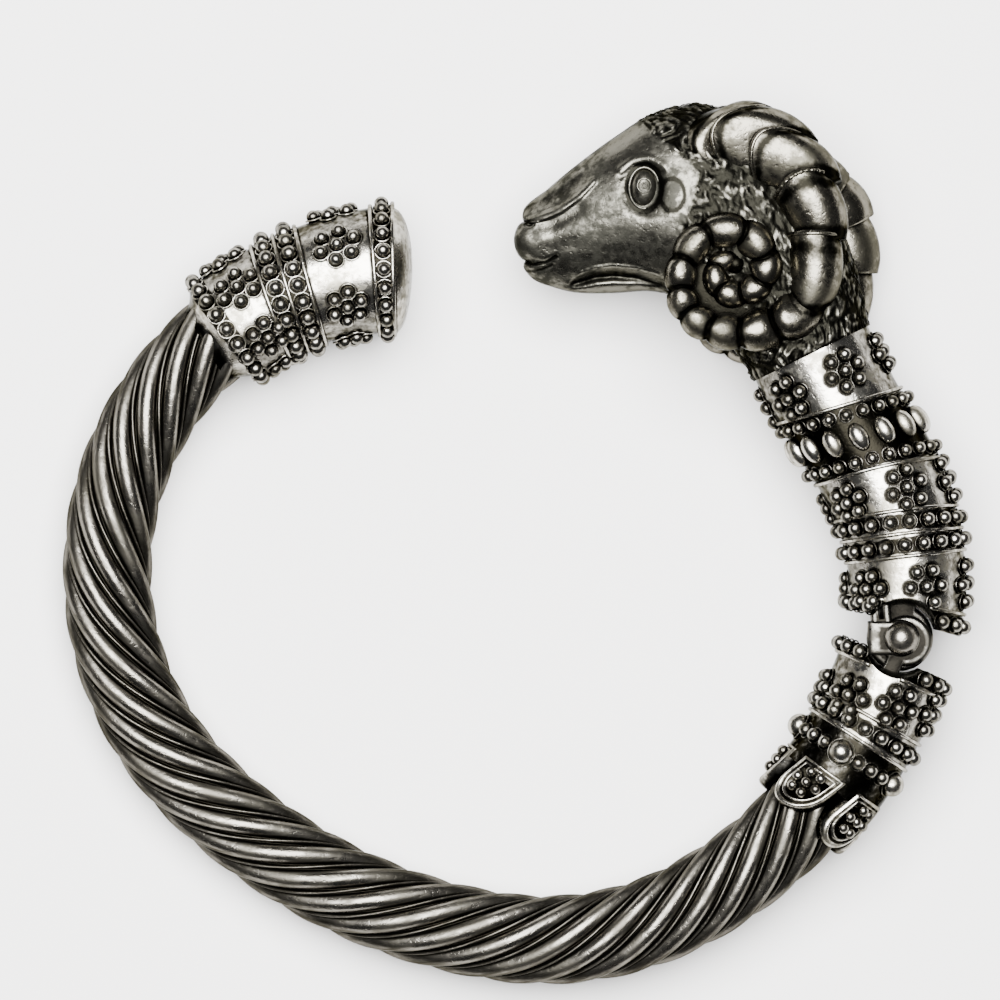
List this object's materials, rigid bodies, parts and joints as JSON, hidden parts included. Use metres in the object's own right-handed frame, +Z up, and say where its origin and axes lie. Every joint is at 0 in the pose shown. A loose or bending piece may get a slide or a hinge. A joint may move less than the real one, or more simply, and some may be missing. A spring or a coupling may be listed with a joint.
{
  "type": "animal head bracelet",
  "caption": "Hinged bangle of twisted bar with granulated ferrules, a domed end cap and a swinging sleeve that ends in a ram's head with coiled horns.",
  "frame": {"origin": "middle of the footprint on the table, with the bangle lying on its side", "axes": "+Z up from the table, nearly along the bangle's own axis; +Y from the bottom of the oval towards the ram's head and the end cap; +X towards the hinge side"},
  "size_m": [0.078, 0.0756, 0.0172],
  "materials": {
    "antique_silver": "satin"
  },
  "bodies": {
    "hoop": {"cable_hoop": "antique_silver", "end_cap": "antique_silver", "hinge_collar": "antique_silver", "hinge_pin": "antique_silver"},
    "arm": {"head_sleeve": "antique_silver", "ram_head": "antique_silver"}
  },
  "joints": [
    {"name": "hinge", "type": "hinge", "parent": "hoop", "child": "arm", "pos_m": [0.03261, -0.00823, 0.00842], "axis": [-0.0641, -0.0554, 0.9964], "range_deg": [-42, 4]}
  ]
}
